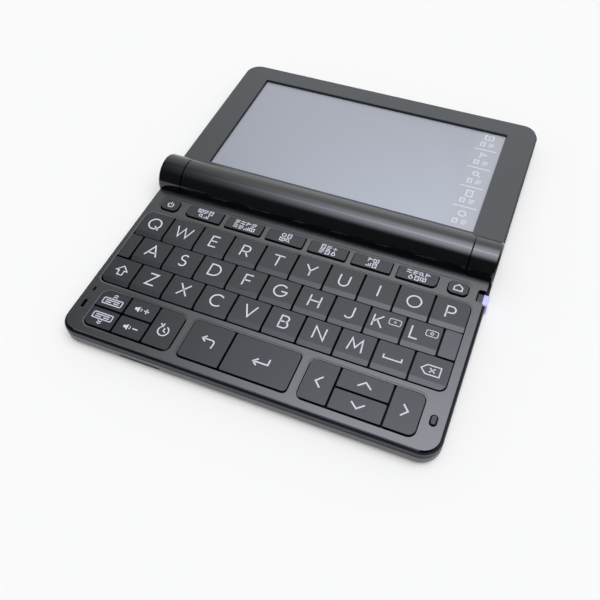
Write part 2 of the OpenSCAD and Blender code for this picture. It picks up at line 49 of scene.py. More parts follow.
# Places on the CAD nodes, in mm.
DECK_TOP = 9.5  # face of the deck
GROOVE_Z = 6.2  # groove round the case, under its black band
BARREL_END = 63.5  # seam between the barrel and a knuckle, from the middle
BARREL_R = 9.1  # radius of the barrel
BEYOND = 200  # past every edge of the dictionary


def srgb(code):
    """Linear colour of an sRGB hex code: each channel through the standard sRGB curve."""
    channels = np.array([int(code[i:i + 2], 16) for i in (1, 3, 5)]) / 255
    linear = np.where(channels <= 0.04045, channels / 12.92, ((channels + 0.055) / 1.055) ** 2.4)
    return tuple(float(value) for value in linear)


# -------- settings


def colour_property(name, description, code):
    """A colour setting whose default is an sRGB hex code."""
    return bpy.props.FloatVectorProperty(
        name=name, description=description, subtype="COLOR", size=3, min=0, max=1, default=srgb(code))


def length_property(name, description, millimetres):
    """A length setting, in metres, whose default is given in millimetres."""
    return bpy.props.FloatProperty(
        name=name, description=description, subtype="DISTANCE", unit="LENGTH", precision=5,
        default=millimetres * MM)


class FinishSettings(bpy.types.PropertyGroup):
    """Colours of the finishes"""
    deck: colour_property("Deck", "Satin paint of the keyboard deck", "#585859")
    case: colour_property("Case", "Moulded lower case", "#5b5c5f")
    key: colour_property("Keys", "Moulded key caps", "#1a1c1f")
    barrel: colour_property("Barrel", "High gloss barrel and lid back", "#0c0d0f")
    bezel: colour_property("Bezel", "Frame round the screen", "#303234")
    screen: colour_property("Screen", "Liquid crystal panel that is switched off", "#9da0a7")
    ink: colour_property("Legend ink", "Print on the key caps", "#cfd1d6")
    stylus: colour_property("Stylus", "End of the pen", "#c8c8f5")


class LegendSettings(bpy.types.PropertyGroup):
    """Sizes of the print on the keys"""
    cap_height: length_property("Letter height", "Height of a capital letter on a key", 5.45)
    letter_stroke: length_property("Letter stroke", "Width of the strokes of a letter", 0.6)
    symbol_stroke: length_property("Symbol stroke", "Width of the strokes of a symbol of weight 1", 0.5)
    fine_stroke: length_property("Fine stroke", "Width of the strokes of the smallest marks", 0.3)
    rear_shift: length_property("Rear shift", "How far a letter stands behind the middle of its key", 0.65)
    ink_height: length_property("Ink height", "How far the print stands above the cap", 0.025)


class ScreenSettings(bpy.types.PropertyGroup):
    """Layout of the strip printed beside the picture"""
    strip_x: length_property("Strip middle", "Middle of the printed strip, from the middle of the lid", 54.0)
    strip_w: length_property("Separator width", "Length of a separator in the printed strip", 10.2)
    cells: bpy.props.IntProperty(
        name="Strip cells", description="Cells in the printed strip", default=5, min=1, max=5)


class StageSettings(bpy.types.PropertyGroup):
    """Camera, light and floor"""
    camera_place: bpy.props.FloatVectorProperty(
        name="Camera place", description="Where the camera stands", subtype="TRANSLATION", unit="LENGTH",
        default=(0.07299, -0.19253, 0.22318))
    camera_turn: bpy.props.FloatVectorProperty(
        name="Camera turn", description="How the camera is turned", subtype="EULER", unit="ROTATION",
        default=(0.647978, 0.022258, 0.387057))
    lens: bpy.props.FloatProperty(
        name="Lens", description="Focal length in millimetres", unit="CAMERA", default=41.68)
    overhead: bpy.props.FloatProperty(
        name="Light overhead", description="Strength of the soft ceiling light", default=5.7, min=0)
    behind: bpy.props.FloatProperty(
        name="Light behind", description="Strength of the pale wall behind the dictionary", default=1.25,
        min=0)
    before: bpy.props.FloatProperty(
        name="Light in front", description="Strength of the dim room in front of it", default=0.05, min=0)
    above: bpy.props.FloatProperty(
        name="Light on matt surfaces", description="Strength of the soft light above the front right",
        default=4.1, min=0)
    around: bpy.props.FloatProperty(
        name="Light from all sides", description="Strength of the even light round everything", default=0.35,
        min=0)
    floor: colour_property("Floor", "White paper under the dictionary", "#f0ede4")


# -------- materials

# The Mix node has inputs for each kind of data. These are its colour sockets.
MIX_BASE, MIX_OVER, MIX_RESULT = 6, 7, 2


def add_node(tree, kind, values=None, links=None, **settings):
    """Adds a node, sets its properties and input values, and links sockets into its inputs."""
    made = tree.nodes.new(kind)
    for name, value in settings.items():
        setattr(made, name, value)
    for name, value in (values or {}).items():
        made.inputs[name].default_value = value
    for name, source in (links or {}).items():
        tree.links.new(source, made.inputs[name])
    return made


def start_material(name, colour, **values):
    """A material with one Principled shader. Even values go on the shader's own sockets, and so does the
    plain value of one that a pattern varies, for a viewer that reads no patterns.
    Returns the material, its tree, the shader and the object coordinates."""
    material = bpy.data.materials.new(name)
    material.use_nodes = True
    tree = material.node_tree
    tree.nodes.clear()
    sockets = {"Base Color": (*colour, 1.0)}
    sockets.update({key.replace("_", " "): value for key, value in values.items()})
    shader = add_node(tree, "ShaderNodeBsdfPrincipled", sockets)
    add_node(tree, "ShaderNodeOutputMaterial", links={"Surface": shader.outputs["BSDF"]})
    place = add_node(tree, "ShaderNodeTexCoord").outputs["Object"]
    return material, tree, shader, place


def wire(tree, shader, **sockets):
    """Links a pattern's sockets into the shader's own."""
    for name, source in sockets.items():
        tree.links.new(source, shader.inputs[name.replace("_", " ")])


def mottle(tree, place, colour, *noises):
    """Colour socket: the colour darkened and lightened by noises, each given as its size in mm and its
    amount. The fine grain comes first and has more detail. A size of g mm is a scale of 1000 / g."""
    lights = []
    for (size_mm, amount), detail in zip(noises, (2.0, 1.0)):
        noise = add_node(tree, "ShaderNodeTexNoise", {"Scale": 1000 / size_mm, "Detail": detail},
                         {"Vector": place})
        lights.append(add_node(tree, "ShaderNodeMapRange", {"To Min": 1 - amount, "To Max": 1 + amount},
                               {"Value": noise.outputs["Fac"]}).outputs["Result"])
    shade = add_node(tree, "ShaderNodeVectorMath", {0: colour}, {"Scale": product(tree, *lights)},
                     operation="SCALE")
    return shade.outputs["Vector"]


def grain_bump(tree, place, grain_mm, height_mm):
    """Normal socket of a fine moulded or painted grain, height_mm deep."""
    fine = add_node(tree, "ShaderNodeTexNoise", {"Scale": 1000 / grain_mm, "Detail": 3.0},
                    {"Vector": place})
    return add_node(tree, "ShaderNodeBump", {"Strength": 1.0, "Distance": height_mm * MM},
                    {"Height": fine.outputs["Fac"]}).outputs["Normal"]


def product(tree, *factors):
    """The factors multiplied together, which for masks is 1 where every one of them is 1."""
    result = factors[0]
    for factor in factors[1:]:
        both = add_node(tree, "ShaderNodeMath", links={0: result, 1: factor}, operation="MULTIPLY")
        result = both.outputs[0]
    return result


def region(tree, place, **ranges):
    """1 inside a box and 0 outside it. x, y and z give the low and high end along an axis in mm, and the
    box has no end along an axis that is left out."""
    axes = add_node(tree, "ShaderNodeSeparateXYZ", links={"Vector": place}).outputs
    masks = []
    for axis, (low, high) in ranges.items():
        mask = add_node(tree, "ShaderNodeMath", {1: (low + high) / 2 * MM, 2: (high - low) / 2 * MM},
                        {0: axes[axis.upper()]}, operation="COMPARE")
        masks.append(mask.outputs[0])
    return product(tree, *masks)


def oval(tree, place, x, y, half, radius):
    """1 within a radius of the line of that half length along Y about x, y, all in mm: the length of
    (|px - x|, max(|py - y| - half, 0)) is less than the radius."""
    steps = [("SUBTRACT", (x * MM, y * MM, 0)), ("ABSOLUTE", (0, 0, 0)), ("SUBTRACT", (0, half * MM, 0)),
             ("MAXIMUM", (0, 0, 0)), ("MULTIPLY", (1, 1, 0)), ("LENGTH", (0, 0, 0))]
    way = place
    for operation, other in steps:
        step = add_node(tree, "ShaderNodeVectorMath", {1: other}, {0: way}, operation=operation)
        way = step.outputs[0]
    return add_node(tree, "ShaderNodeMath", {1: radius * MM}, {0: step.outputs["Value"]},
                    operation="LESS_THAN").outputs[0]


def upright(tree):
    """1 on faces that stand upright, else 0: the sides of the caps and the walls of the deck."""
    normal = add_node(tree, "ShaderNodeNewGeometry").outputs["True Normal"]
    lift = add_node(tree, "ShaderNodeSeparateXYZ", links={"Vector": normal}).outputs["Z"]
    most = 0.3
    return add_node(tree, "ShaderNodeMath", {1: 0.0, 2: most}, {0: lift}, operation="COMPARE").outputs[0]


def layered(tree, colour, *layers):
    """Colour socket: the colour with the layers over it in turn. A layer is a mask and the colour where it
    is 1, and a colour is a socket or linear red, green and blue."""
    for mask, over in layers:
        values, links = {}, {0: mask}
        for name, shade in ((MIX_BASE, colour), (MIX_OVER, over)):
            if isinstance(shade, bpy.types.NodeSocket):
                links[name] = shade
            else:
                values[name] = (*shade, 1.0)
        colour = add_node(tree, "ShaderNodeMix", values, links, data_type="RGBA").outputs[MIX_RESULT]
    return colour


def moulded_keycap(colour):
    """Injection-moulded ABS with a spark-eroded grain: dull, with a broad weak sheen, and painted shade on
    the sides, near black for the gaps between the caps. The real grain is about 0.1 mm and would not show, so
    it is drawn at 0.45 mm."""
    material, tree, shader, place = start_material("moulded_abs_keycap", colour, Roughness=0.3, IOR=1.52)
    shade = mottle(tree, place, colour, (0.45, 0.16), (22, 0.14))
    # Painted shade: the upright sides of the caps are near black, for the shade in the gaps between them.
    shade = layered(tree, shade, (upright(tree), srgb("#101113")))
    wire(tree, shader, Base_Color=shade, Normal=grain_bump(tree, place, 0.4, 0.012))
    return material


def painted_deck(colour, half_mm, front_mm):
    """ABS under a satin metallic paint: a soft sheen with a fine sparkle, drawn at 0.35 mm. The plastic is
    bare and black below the openings. The outer wall carries painted light: a paler grey that does not
    mirror. The blanks in the middle row are a little darker, and the oval stop is rubber in a black ring.
    At the left end the fine step round the openings carries a painted highlight, a pale line that fades
    out towards the middle. Takes the half width and the front of the deck, in mm."""
    step = {"y": (-BEYOND, -22), "z": (DECK_TOP - 0.2, DECK_TOP - 0.02)}
    highlight_fades, highlight_full = -50, -66
    blanks = {"y": (-60, -30), "z": (DECK_TOP + 0.1, BEYOND)}
    opening_floor = DECK_TOP - 0.55
    stop_x, stop_y, stop_half, ring_r, rubber_r = half_mm - 4.05, front_mm + 12.05, 0.9, 1.42, 0.78
    metallic = 0.95
    material, tree, shader, place = start_material(
        "painted_abs_deck", colour, Roughness=0.24, Metallic=metallic, IOR=1.5)
    across = add_node(tree, "ShaderNodeSeparateXYZ", links={"Vector": place}).outputs["X"]
    # Painted highlight: a pale line on the fine step round the openings, full at the left end and fading out
    # towards the middle.
    left = add_node(tree, "ShaderNodeMapRange", {"From Min": highlight_fades * MM, "From Max": highlight_full * MM},
                    {"Value": across})
    line = product(tree, region(tree, place, **step), left.outputs["Result"])
    inside = region(tree, place, x=(-half_mm, half_mm), y=(front_mm, BEYOND))
    below = product(tree, inside, region(tree, place, z=(0, opening_floor)))
    ring = oval(tree, place, stop_x, stop_y, stop_half, ring_r)
    rubber = oval(tree, place, stop_x, stop_y, stop_half, rubber_r)
    # Painted light: the outer wall of the deck is a paler grey that does not mirror, standing in for the
    # light that falls on it.
    wall = product(tree, upright(tree), region(tree, place, z=(0, DECK_TOP - 0.01)))
    wall = add_node(tree, "ShaderNodeMath", links={0: wall, 1: inside}, operation="SUBTRACT",
                    use_clamp=True).outputs[0]
    shade = layered(
        tree, mottle(tree, place, colour, (0.35, 0.12), (30, 0.06)),
        (line, srgb("#7b7e84")),
        (region(tree, place, **blanks), mottle(tree, place, srgb("#4b4c4f"), (0.45, 0.16))),
        (below, srgb("#0b0c0e")), (ring, srgb("#0b0c0e")), (rubber, srgb("#37383b")),
        (wall, srgb("#6a6c70")))
    metal = add_node(tree, "ShaderNodeMapRange", {"To Min": metallic, "To Max": 0.0}, {"Value": wall})
    wire(tree, shader, Base_Color=shade, Metallic=metal.outputs["Result"],
         Normal=grain_bump(tree, place, 0.35, 0.006))
    return material


def moulded_case(colour):
    """Injection-moulded ABS with a fine etched grain: a plain satin grey. Above the groove it is a black
    band. Its top edge carries a painted highlight, a paler line where the chamfer catches the light, and
    the rim above that carries painted shade, near black for the seam under the deck. The band mirrors
    weakly, which a metallic shader with a near black colour gives. The feet are black rubber, and the
    fingernail slot is near black inside, painted shade in the recess."""
    band_low, highlight_low, highlight_high, foot_top = GROOVE_Z - 0.35, GROOVE_Z + 1.36, GROOVE_Z + 1.86, 0.55
    # Painted shade: the inside of the fingernail slot is near black.
    slot = {"x": (-49.5, -29.5), "y": (-88.95, -80), "z": (2.6, 4.3)}
    material, tree, shader, place = start_material("moulded_abs_case", colour, Roughness=0.42, IOR=1.52)
    black = region(tree, place, z=(band_low, BEYOND))
    # Painted highlight: the pale edge at the top of the band stands in for light caught by its chamfer.
    edge = region(tree, place, z=(highlight_low, highlight_high))
    shade = layered(
        tree, mottle(tree, place, colour, (0.5, 0.1), (25, 0.05)),
        (black, srgb("#2c2d30")), (edge, srgb("#484a4e")),
        # Painted shade: the rim above the pale edge is near black, for the seam under the deck.
        (region(tree, place, z=(highlight_high + 0.01, BEYOND)), srgb("#1d1e20")),
        (region(tree, place, z=(-BEYOND, foot_top)), srgb("#1c1c1e")),
        (region(tree, place, **slot), srgb("#0c0d0e")))
    weak = add_node(tree, "ShaderNodeMath", links={0: black, 1: edge}, operation="SUBTRACT").outputs[0]
    wire(tree, shader, Base_Color=shade, Metallic=weak, Normal=grain_bump(tree, place, 0.4, 0.01))
    return material


def piano_black(colour):
    """ABS moulded in a polished tool and lacquered: deep black that mirrors the room, with the slight
    ripple and dust haze of lacquer. The edges at the seams of the knuckles carry painted shade: near
    black and mirroring nothing, which makes each seam read as one dark line."""
    outer, inner, reach, haze_mm = BARREL_END + 0.2, BARREL_END - 0.35, BARREL_R + 0.2, 11.1
    material, tree, shader, place = start_material("lacquered_abs_black", colour, Roughness=0.09, IOR=1.6)
    haze = add_node(tree, "ShaderNodeTexNoise", {"Scale": 1000 / haze_mm, "Detail": 4.0}, {"Vector": place})
    haze = add_node(tree, "ShaderNodeMapRange", {"To Min": 0.06, "To Max": 0.12},
                    {"Value": haze.outputs["Fac"]})
    # Painted shade: a band at each seam between the barrel and a knuckle, near black and fully metallic so
    # that it mirrors nothing.
    wide, barrel = (region(tree, place, x=(-end, end), y=(-reach, reach)) for end in (outer, inner))
    seam_shade = add_node(tree, "ShaderNodeMath", links={0: wide, 1: barrel}, operation="SUBTRACT").outputs[0]
    shade = layered(tree, mottle(tree, place, colour, (0.8, 0.15)), (seam_shade, srgb("#08080a")))
    wire(tree, shader, Base_Color=shade, Roughness=haze.outputs["Result"], Metallic=seam_shade,
         Normal=grain_bump(tree, place, 9, 0.006))
    return material


def satin_bezel(colour):
    """ABS moulded with a fine satin grain: a flat greenish grey with little sheen."""
    material, tree, shader, place = start_material("satin_abs_bezel", colour, Roughness=0.36, IOR=1.55)
    shade = mottle(tree, place, colour, (0.5, 0.08), (28, 0.08))
    wire(tree, shader, Base_Color=shade, Normal=grain_bump(tree, place, 0.4, 0.006))
    return material


def crystal_panel(colour, edge_mm, near_mm, far_mm):
    """Liquid crystal panel under a laminated touch film: grey crystal with painted light, brightest towards
    the near right corner and darkest at the far left, slightly warmer along the printed strip, with a faint
    cell grid, a black frame printed round the picture, and the soft gloss of hard-coated film. The real
    cells are 0.2 mm, and their rows are drawn every 0.6 mm, the finest that shows close up. Takes the
    picture's edges in mm."""
    dim_x, bright_x, bright_y, dim_y, far_share = -60, 40, 18, 74, 0.26
    darkest, brightest = 0.79, 1.17
    strip_from, strip_full, strip_share = edge_mm - 14, edge_mm - 9, 0.6
    row_mm, line_share, line_strength = 0.6, 0.1, 0.12
    material, tree, shader, place = start_material(
        "liquid_crystal_panel", colour, Roughness=0.34, IOR=1.5, Coat_Weight=1.0, Coat_Roughness=0.28,
        Coat_IOR=1.5)
    axes = add_node(tree, "ShaderNodeSeparateXYZ", links={"Vector": place}).outputs
    # Painted light: the panel's colour is scaled from darkest at the far left to brightest towards the near
    # right corner.
    right = add_node(tree, "ShaderNodeMapRange", {"From Min": dim_x * MM, "From Max": bright_x * MM},
                     {"Value": axes["X"]})
    near = add_node(tree, "ShaderNodeMapRange", {
        "From Min": bright_y * MM, "From Max": dim_y * MM, "To Min": 1.0, "To Max": far_share},
        {"Value": axes["Y"]})
    light = add_node(tree, "ShaderNodeMapRange", {"To Min": darkest, "To Max": brightest},
                     {"Value": product(tree, right.outputs["Result"], near.outputs["Result"])})
    shade = mottle(tree, place, colour, (60, 0.02))
    shade = add_node(tree, "ShaderNodeVectorMath", links={0: shade, "Scale": light.outputs["Result"]},
                     operation="SCALE")
    strip = add_node(tree, "ShaderNodeMapRange", {
        "From Min": strip_from * MM, "From Max": strip_full * MM, "To Max": strip_share},
        {"Value": axes["X"]})
    rows = add_node(tree, "ShaderNodeMath", {1: 1 / (row_mm * MM)}, {0: axes["Y"]}, operation="MULTIPLY")
    rows = add_node(tree, "ShaderNodeMath", links={0: rows.outputs[0]}, operation="FRACT")
    rows = add_node(tree, "ShaderNodeMath", {1: line_share}, {0: rows.outputs[0]}, operation="LESS_THAN")
    faint = add_node(tree, "ShaderNodeMath", {1: line_strength}, {0: rows.outputs[0]}, operation="MULTIPLY")
    picture = region(tree, place, x=(-edge_mm, edge_mm), y=(near_mm, far_mm))
    shade = layered(tree, shade.outputs["Vector"], (strip.outputs["Result"], srgb("#a3a4a5")),
                    (faint.outputs[0], srgb("#8f939c")))
    wire(tree, shader, Base_Color=layered(tree, srgb("#141518"), (picture, shade)))
    return material


def printed_ink(colour):
    """Pad-printed two-part ink: an opaque pale grey film, a little uneven in weight."""
    material, tree, shader, place = start_material("pad_printed_ink", colour, Roughness=0.55, IOR=1.48)
    wire(tree, shader, Base_Color=mottle(tree, place, colour, (0.5, 0.06)))
    return material


def screen_print():
    """White ink behind the touch film: pale and low in contrast against the panel."""
    colour = srgb("#d3d6da")
    material, tree, shader, place = start_material("screen_printed_ink", colour, Roughness=0.45, IOR=1.48)
    wire(tree, shader, Base_Color=mottle(tree, place, colour, (0.6, 0.05)))
    return material


def moulded_stylus(colour):
    """Pen moulded in acetal: slightly translucent, with a lavender end cap and a dark shaft."""
    shaft_end = 72.9
    material, tree, shader, place = start_material(
        "moulded_acetal_pen", colour, Roughness=0.38, IOR=1.48, Subsurface_Weight=0.1,
        Subsurface_Scale=2 * MM)
    shade = mottle(tree, place, colour, (0.6, 0.03))
    shade = layered(tree, shade, (region(tree, place, x=(-BEYOND, shaft_end)), srgb("#2f3035")))
    wire(tree, shader, Base_Color=shade)
    return material


def silicone_mat():
    """Compression-moulded silicone: matt grey with a dusty look."""
    colour = srgb("#5b5e66")
    material, tree, shader, place = start_material("moulded_silicone_mat", colour, Roughness=0.7, IOR=1.43)
    wire(tree, shader, Base_Color=mottle(tree, place, colour, (1.0, 0.08)))
    return material


def laminate_board():
    """Glass-epoxy laminate under solder mask, with copper tracks showing as a paler green grid. A cell of
    the grid is half of 1 / scale long."""
    colour, cell_mm = srgb("#23573a"), 6
    material, tree, shader, place = start_material("glass_epoxy_board", colour, Roughness=0.35, IOR=1.55)
    tracks = add_node(tree, "ShaderNodeTexBrick", {
        "Color1": (*colour, 1), "Color2": (*srgb("#1d4b31"), 1), "Mortar": (*srgb("#3b7a55"), 1),
        "Scale": 500 / cell_mm, "Mortar Size": 0.03}, {"Vector": place})
    wire(tree, shader, Base_Color=tracks.outputs["Color"])
    return material


def cell_can():
    """Drawn nickel-plated steel can of an alkaline cell: bright metal with faint rings from the drawing,
    0.785 mm apart. A wave repeats every 2 pi / (20 scale)."""
    material, tree, shader, place = start_material(
        "drawn_nickel_can", srgb("#c9ccd1"), Metallic=1.0, Roughness=0.28)
    rings = add_node(tree, "ShaderNodeTexWave", {"Scale": np.pi / (10 * 0.785 * MM), "Distortion": 1.0},
                     {"Vector": place})
    rough = add_node(tree, "ShaderNodeMapRange", {"To Min": 0.22, "To Max": 0.36},
                     {"Value": rings.outputs["Fac"]})
    wire(tree, shader, Roughness=rough.outputs["Result"])
    return material


def ground_steel(name):
    """Ground and zinc-plated steel: a grey metal with fine scratches, about 0.4 mm apart."""
    material, tree, shader, place = start_material(name, srgb("#a5a8ad"), Metallic=1.0, Roughness=0.32)
    lines = add_node(tree, "ShaderNodeTexNoise", {"Scale": 1000 / 0.4, "Detail": 2.0}, {"Vector": place})
    rough = add_node(tree, "ShaderNodeMapRange", {"To Min": 0.25, "To Max": 0.45},
                     {"Value": lines.outputs["Fac"]})
    wire(tree, shader, Roughness=rough.outputs["Result"])
    return material


def white_paper(colour):
    """Matt white background paper. It keeps the object's shadow, and glows a little for the camera and in
    reflections, so that it reads as white at a plain light level. A mirror sees it end 200 mm in front of
    the barrel, where the dark room begins."""
    room, glow_strength = (-3000, -200), 0.07
    material, tree, shader, place = start_material(
        "matt_white_paper", colour, Roughness=0.9, IOR=1.3, Emission_Color=(*srgb("#fcfdff"), 1))
    path = add_node(tree, "ShaderNodeLightPath").outputs
    beyond = product(tree, region(tree, place, y=room), path["Is Glossy Ray"])
    seen = path["Is Camera Ray"]
    for ray in ("Is Glossy Ray", "Is Transmission Ray"):
        either = add_node(tree, "ShaderNodeMath", links={0: seen, 1: path[ray]}, operation="MAXIMUM")
        seen = either.outputs[0]
    glow = add_node(tree, "ShaderNodeMath", {1: glow_strength}, {0: seen}, operation="MULTIPLY")
    wire(tree, shader, Base_Color=layered(tree, colour, (beyond, srgb("#1a1b1d"))),
         Emission_Strength=glow.outputs[0])
    return material


def dress(node_name, material):
    """Gives a CAD node its material."""
    slots = NODES[node_name].material_slots
    for slot in slots:
        slot.material = material
    if not slots:
        NODES[node_name].data.materials.append(material)


# -------- surfaces


def stroke_points(items):
    """Polyline of a stroke. An item is a point (x, y) or an arc (cx, cy, rx, ry, a0, a1) in degrees, whose
    points are (cx + rx cos a, cy + ry sin a) for a from a0 to a1. A full turn has 42 of them."""
    full_turn, fewest, same_point = 42, 4, 1e-9
    runs = []
    for item in items:
        if len(item) == 2:
            runs.append(np.array([item], float))
        else:
            cx, cy, rx, ry, a0, a1 = item
            count = max(fewest, round(abs(a1 - a0) / 360 * full_turn))
            turn = np.radians(np.linspace(a0, a1, count))
            runs.append(np.stack([cx + rx * np.cos(turn), cy + ry * np.sin(turn)], 1))
    points = np.concatenate(runs)
    gaps = np.linalg.norm(np.diff(points, axis=0), axis=1)
    return points[np.concatenate([[True], gaps > same_point])]


def ribbon(points, width, low, high):
    """A bar of rectangular section carried along a polyline, mitred at its corners: the two rails lie at
    half the width on either side of the line, and the section runs from low to high. The cosine of half a
    bend has a floor, which cuts a sharp mitre short."""
    least_cosine, least_length = 0.42, 1e-6
    closed = np.allclose(points[0], points[-1])
    core = points[:-1] if closed else points
    ahead = np.roll(core, -1, 0) - core
    behind = core - np.roll(core, 1, 0)
    if not closed:
        ahead[-1] = behind[-1]
        behind[0] = ahead[0]
    ahead /= np.linalg.norm(ahead, axis=1)[:, None]
    behind /= np.linalg.norm(behind, axis=1)[:, None]
    along = ahead + behind
    along /= np.maximum(np.linalg.norm(along, axis=1), least_length)[:, None]
    side = np.stack([-along[:, 1], along[:, 0]], 1)
    lean = np.maximum(side[:, 0] * -ahead[:, 1] + side[:, 1] * ahead[:, 0], least_cosine)
    reach = side * (width / 2 / lean)[:, None]
    left, right = core + reach, core - reach
    count = len(core)
    flat = np.stack([right, left, left, right], 1)
    height = np.tile(np.array([low, low, high, high], float), (count, 1))
    vertices = np.concatenate([flat, height[..., None]], 2).reshape(-1, 3)
    first = np.arange(count if closed else count - 1)
    second = (first + 1) % count
    corner = np.arange(4)
    turn = (corner + 1) % 4
    quads = np.stack([first[:, None] * 4 + corner, second[:, None] * 4 + corner,
                      second[:, None] * 4 + turn, first[:, None] * 4 + turn], 2).reshape(-1, 4)
    if not closed:
        quads = np.concatenate([quads, [corner], [(count - 1) * 4 + corner[::-1]]])
    return vertices, [quads]


def tablet(points, low, high):
    """A flat solid with the outline of the points: an n-gon below, an n-gon above and a wall of quads."""
    count = len(points)
    base = np.column_stack([points, np.full(count, low)])
    vertices = np.concatenate([base, base + [0, 0, high - low]])
    ring = np.arange(count)
    walls = np.stack([ring, (ring + 1) % count, (ring + 1) % count + count, ring + count], 1)
    return vertices, [np.array([ring[::-1], ring + count]), walls]


def revolve(profile, centre):
    """A surface of revolution about a vertical line: radius r and height z of the profile, turned through
    the circle, as points (cx + r cos t, cy + r sin t, z)."""
    steps = 28
    turn = np.linspace(0, 2 * np.pi, steps, endpoint=False)
    radius, height = np.array(profile, float).T
    x = centre[0] + radius[:, None] * np.cos(turn)
    y = centre[1] + radius[:, None] * np.sin(turn)
    z = np.repeat(height[:, None], steps, 1)
    vertices = np.stack([x, y, z], 2).reshape(-1, 3)
    row = np.arange(len(profile) - 1)[:, None] * steps
    column = np.arange(steps)[None]
    after = (column + 1) % steps
    quads = np.stack([row + column, row + after, row + steps + after, row + steps + column], 2)
    return vertices, [quads.reshape(-1, 4)]


def piece(name, parts, material, body):
    """One mesh object at the origin, riding on a body. A part is what ribbon, tablet and revolve return:
    vertices in mm and a list of face arrays, one for each number of corners."""
    vertices, faces, start = [], [], 0
    for points, face_arrays in parts:
        vertices.append(points * MM)
        for corners in face_arrays:
            faces += (corners + start).tolist()
        start += len(points)
    mesh = bpy.data.meshes.new(name)
    mesh.from_pydata(np.concatenate(vertices).tolist(), [], faces)
    mesh.update()
    mesh.materials.append(material)
    made = bpy.data.objects.new(name, mesh)
    bpy.context.scene.collection.objects.link(made)
    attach(made, body)


# -------- legends

SINK = 0.02  # how deep a print is sunk into its cap, in mm

BOWL = (0.33, 0.72, 0.28, 0.28, 90, -90)  # of P and R

# Capitals drawn with one even stroke, as the width and the strokes of a letter of height 1.
LETTERS = {
    "a": (0.95, [[(0, 0), (0.475, 1), (0.95, 0)], [(0.15, 0.31), (0.8, 0.31)]]),
    "b": (0.64, [[(0, 0), (0, 1), (0.34, 0.765, 0.235, 0.235, 90, -90), (0, 0.53)],
                 [(0.34, 0.53), (0.375, 0.265, 0.265, 0.265, 90, -90), (0, 0)]]),
    "c": (0.88, [[(0.5, 0.5, 0.5, 0.5, 46, 314)]]),
    "d": (0.84, [[(0, 0), (0, 1), (0.34, 0.5, 0.5, 0.5, 90, -90), (0, 0)]]),
    "e": (0.58, [[(0.58, 1), (0, 1), (0, 0), (0.58, 0)], [(0, 0.52), (0.52, 0.52)]]),
    "f": (0.55, [[(0.55, 1), (0, 1), (0, 0)], [(0, 0.5), (0.5, 0.5)]]),
    "g": (0.98, [[(0.5, 0.5, 0.5, 0.5, 46, 345), (0.985, 0.46), (0.56, 0.46)]]),
    "h": (0.78, [[(0, 0), (0, 1)], [(0.78, 0), (0.78, 1)], [(0, 0.52), (0.78, 0.52)]]),
    "i": (0, [[(0, 0), (0, 1)]]),
    "j": (0.56, [[(0.56, 1), (0.28, 0.28, 0.28, 0.28, 0, -150)]]),
    "k": (0.7, [[(0, 0), (0, 1)], [(0.64, 1), (0, 0.36)], [(0.24, 0.6), (0.7, 0)]]),
    "l": (0.55, [[(0, 1), (0, 0), (0.55, 0)]]),
    "m": (1.0, [[(0, 0), (0.13, 1), (0.5, 0.28), (0.87, 1), (1, 0)]]),
    "n": (0.78, [[(0, 0), (0, 1), (0.78, 0), (0.78, 1)]]),
    "o": (1.0, [[(0.5, 0.5, 0.5, 0.5, 0, 360)]]),
    "p": (0.61, [[(0, 0), (0, 1), BOWL, (0, 0.44)]]),
    "q": (1.0, [[(0.5, 0.5, 0.5, 0.5, 0, 360)], [(0.6, 0.3), (0.97, -0.05)]]),
    "r": (0.64, [[(0, 0), (0, 1), BOWL, (0, 0.44)], [(0.33, 0.44), (0.64, 0)]]),
    "s": (0.6, [[(0.3, 0.755, 0.245, 0.245, 38, 270), (0.3, 0.255, 0.265, 0.255, 90, -148)]]),
    "t": (0.82, [[(0, 1), (0.82, 1)], [(0.41, 1), (0.41, 0)]]),
    "u": (0.74, [[(0, 1), (0.37, 0.37, 0.37, 0.37, 180, 360), (0.74, 1)]]),
    "v": (0.88, [[(0, 1), (0.44, 0), (0.88, 1)]]),
    "w": (1.3, [[(0, 1), (0.33, 0), (0.65, 0.92), (0.97, 0), (1.3, 1)]]),
    "x": (0.78, [[(0, 1), (0.78, 0)], [(0.78, 1), (0, 0)]]),
    "y": (0.84, [[(0, 1), (0.42, 0.46), (0.84, 1)], [(0.42, 0.46), (0.42, 0)]]),
    "z": (0.7, [[(0.02, 1), (0.68, 1), (0, 0), (0.7, 0)]]),
}

# Small marks in a square of side 1 about their middle, for the keys that hold words on the real one.
MARKS = {
    "list": [[(-0.5, 0.4), (0.5, 0.4)], [(-0.5, 0), (0.5, 0)], [(-0.5, -0.4), (0.2, -0.4)]],
    "ring": [[(0, 0, 0.42, 0.42, 0, 360)]],
    "lens": [[(-0.1, 0.1, 0.32, 0.32, 0, 360)], [(0.14, -0.14), (0.48, -0.48)]],
    "steps": [[(-0.4, -0.5), (-0.4, -0.1)], [(0, -0.5), (0, 0.2)], [(0.4, -0.5), (0.4, 0.5)]],
    "page": [[(-0.36, -0.5), (-0.36, 0.5), (0.36, 0.5), (0.36, -0.5), (-0.36, -0.5)],
             [(-0.1, 0.1), (0.1, 0.1)]],
    "book": [[(0, -0.42), (0, 0.34), (-0.5, 0.46), (-0.5, -0.3), (0, -0.42)],
             [(0, -0.42), (0.5, -0.3), (0.5, 0.46), (0, 0.34)]],
    "flag": [[(-0.34, -0.5), (-0.34, 0.46), (0.4, 0.2), (-0.34, -0.04)]],
    "waves": [[(-0.5, 0.25), (-0.17, 0.45), (0.17, 0.2), (0.5, 0.42)],
              [(-0.5, -0.3), (-0.17, -0.1), (0.17, -0.36), (0.5, -0.14)]],
    "drop": [[(0, 0.5), (-0.36, -0.1), (0, -0.14, 0.36, 0.34, 180, 360), (0, 0.5)]],
    "cross": [[(-0.42, 0), (0.42, 0)], [(0, -0.42), (0, 0.42)]],
}
